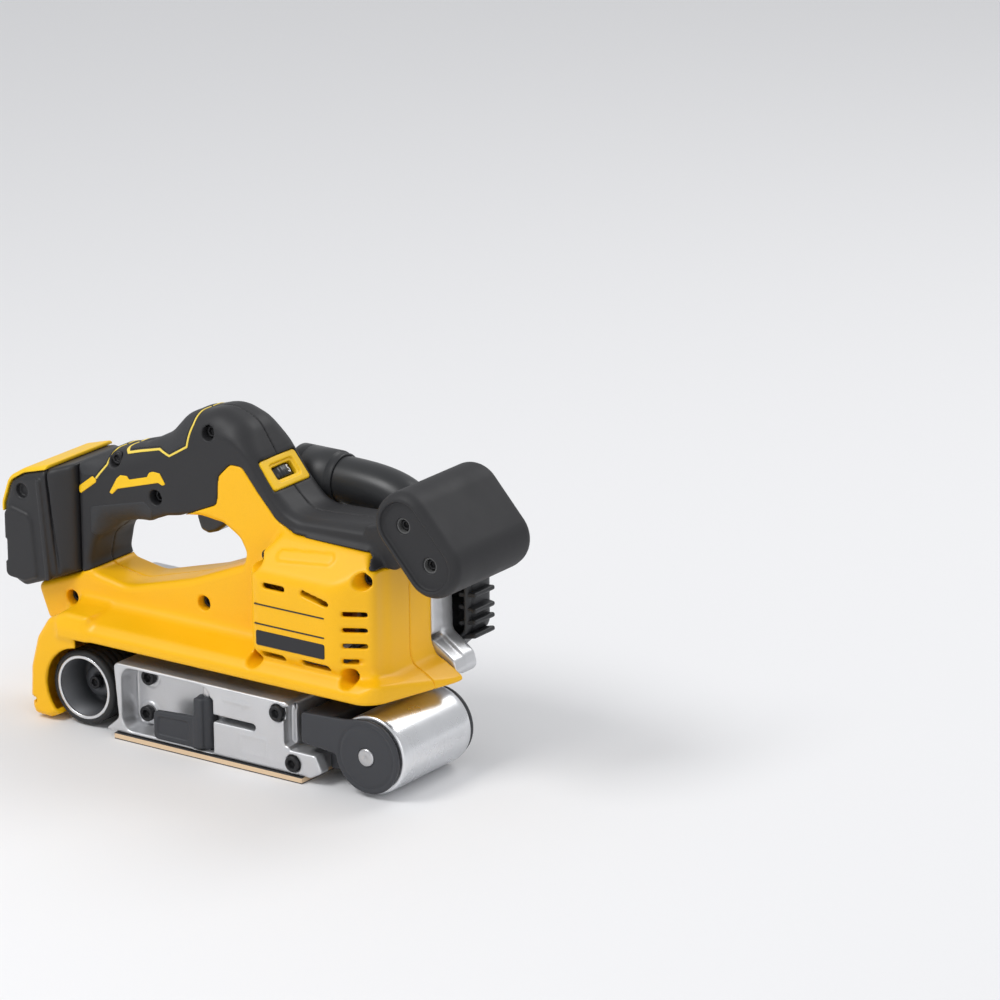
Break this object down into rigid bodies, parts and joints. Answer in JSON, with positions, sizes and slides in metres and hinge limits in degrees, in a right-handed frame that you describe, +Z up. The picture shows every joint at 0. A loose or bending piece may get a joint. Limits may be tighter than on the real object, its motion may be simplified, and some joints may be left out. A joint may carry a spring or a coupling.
{
  "type": "handheld belt sander",
  "caption": "Handheld belt sander with a rear drive drum, a spring-loaded front roller, a cork-backed sole, a looped main handle, a tilting front handle and a rear battery dock.",
  "frame": {"origin": "centre of the sole's rubbing face", "axes": "+X towards the front roller, -Y towards the open side the belt comes off, +Z up through the handle"},
  "size_m": [0.3172, 0.1119, 0.1902],
  "materials": {
    "housing_yellow": "moulded, fine texture",
    "grip_black": "soft overmould",
    "dock_black": "moulded",
    "accent_yellow": "moulded",
    "insulator": "moulded",
    "contact_metal": "plated",
    "cast_aluminium": "bead blasted casting",
    "dark_steel": "black oxide",
    "bright_steel": "ground",
    "cork": "cork granules",
    "sole_graphite": "graphite cloth",
    "lever_grey": "graphite grey",
    "roller_aluminium": "turned satin",
    "drum_rubber": "ground rubber",
    "drum_hub": "dark with a bright rim",
    "belt_rubber": "moulded",
    "lamination": "stamped",
    "copper": "enamelled wire",
    "cover_black": "moulded",
    "trigger_black": "polished",
    "knob_rubber": "fine matt",
    "plate_blank": "blank plate",
    "spring_steel": "spring wire"
  },
  "bodies": {
    "casing": {"near_housing": "housing_yellow", "far_housing": "housing_yellow", "near_grip": "grip_black", "far_grip": "grip_black", "battery_dock": "dock_black", "dock_bumper": "accent_yellow", "terminal_block": "insulator", "terminal_blades": "contact_metal", "dial_bezel": "accent_yellow", "dial_spindle": "bright_steel", "platen_frame": "cast_aluminium", "frame_screws": "dark_steel", "cork_pad": "cork", "sole_sheet": "sole_graphite", "sole_backing": "dark_steel", "lever_pin": "bright_steel", "tension_spring": "spring_steel", "drive_belt": "belt_rubber", "drum_bearings": "bright_steel", "motor_bearings": "bright_steel", "stator_core": "lamination", "stator_windings": "copper", "motor_carrier": "insulator", "drive_casting": "cast_aluminium", "drive_cover": "cover_black", "cover_screws": "dark_steel", "trigger_pin": "bright_steel", "switch_module": "insulator", "control_board": "insulator", "motor_leads": "belt_rubber", "housing_screws": "dark_steel", "rating_plate": "plate_blank", "dust_elbow": "cover_black", "dust_collar": "cover_black", "handle_pin": "bright_steel"},
    "drum": {"drum_core": "drum_hub", "drum_rubber": "drum_rubber", "drum_shaft": "bright_steel", "drum_screw": "dark_steel", "drum_pulley": "roller_aluminium"},
    "rotor": {"rotor_core": "lamination", "rotor_shaft": "bright_steel", "cooling_fan": "insulator", "motor_pulley": "bright_steel"},
    "lever": {"tension_lever": "lever_grey"},
    "yoke_slider": {"slide_bar": "dark_steel"},
    "yoke": {"idler_yoke": "lever_grey", "steering_pin": "bright_steel", "idler_axle": "bright_steel"},
    "idler": {"idler_roller": "roller_aluminium", "idler_bearings": "bright_steel"},
    "tracking": {"tracking_knob": "trigger_black", "tracking_screw": "bright_steel"},
    "trigger_lever": {"trigger": "trigger_black"},
    "lock": {"lock_button": "trigger_black"},
    "dial": {"speed_dial": "trigger_black"},
    "front_handle": {"knob_core": "insulator", "knob_grip": "knob_rubber", "knob_screws": "dark_steel"}
  },
  "joints": [
    {"name": "drum_spin", "type": "hinge", "parent": "casing", "child": "drum", "pos_m": [-0.0913, 0, 0.0226], "axis": [0, 1, 0], "continuous": true},
    {"name": "rotor_spin", "type": "hinge", "parent": "casing", "child": "rotor", "pos_m": [0.064, 0, 0.095], "axis": [0, 1, 0], "continuous": true},
    {"name": "lever_swing", "type": "hinge", "parent": "casing", "child": "lever", "pos_m": [-0.0048, -0.0295, 0.02], "axis": [0, 0, 1], "range_deg": [0, 90]},
    {"name": "yoke_slide", "type": "slide", "parent": "casing", "child": "yoke_slider", "axis": [1, 0, 0], "range_m": [-0.006, 0], "deforming": ["tension_spring"]},
    {"name": "yoke_steer", "type": "hinge", "parent": "yoke_slider", "child": "yoke", "pos_m": [0.07, 0, 0.026], "axis": [0, 0, 1], "range_deg": [-1, 1]},
    {"name": "idler_spin", "type": "hinge", "parent": "yoke", "child": "idler", "pos_m": [0.1066, 0, 0.0234], "axis": [0, 1, 0], "continuous": true},
    {"name": "tracking_turn", "type": "hinge", "parent": "casing", "child": "tracking", "pos_m": [0.074, 0.05, 0.03], "axis": [0, 1, 0], "range_deg": [-180, 180]},
    {"name": "trigger_pull", "type": "hinge", "parent": "casing", "child": "trigger_lever", "pos_m": [-0.014, 0.008, 0.128], "axis": [0, 1, 0], "range_deg": [0, 10], "stiffness_Nm_per_rad": 0.5, "springref_deg": -2.86},
    {"name": "lock_press", "type": "slide", "parent": "casing", "child": "lock", "axis": [0, -1, 0], "range_m": [0, 0.0025], "stiffness_N_per_m": 300, "springref_m": -0.002},
    {"name": "dial_turn", "type": "hinge", "parent": "casing", "child": "dial", "pos_m": [0.01313, 0.008, 0.15144], "axis": [0.6281, 0, -0.7781], "range_deg": [-120, 150]},
    {"name": "front_handle_swing", "type": "hinge", "parent": "casing", "child": "front_handle", "pos_m": [0.113, 0.008, 0.138], "axis": [0, 1, 0], "range_deg": [0, 40]}
  ],
  "couplings": [
    {"joint": "rotor_spin", "follows": "drum_spin", "ratio": 2.6667},
    {"joint": "lever_swing", "follows": "yoke_slide", "rad_per_m": -261.7},
    {"joint": "tracking_turn", "follows": "yoke_steer", "ratio": 179.9}
  ]
}
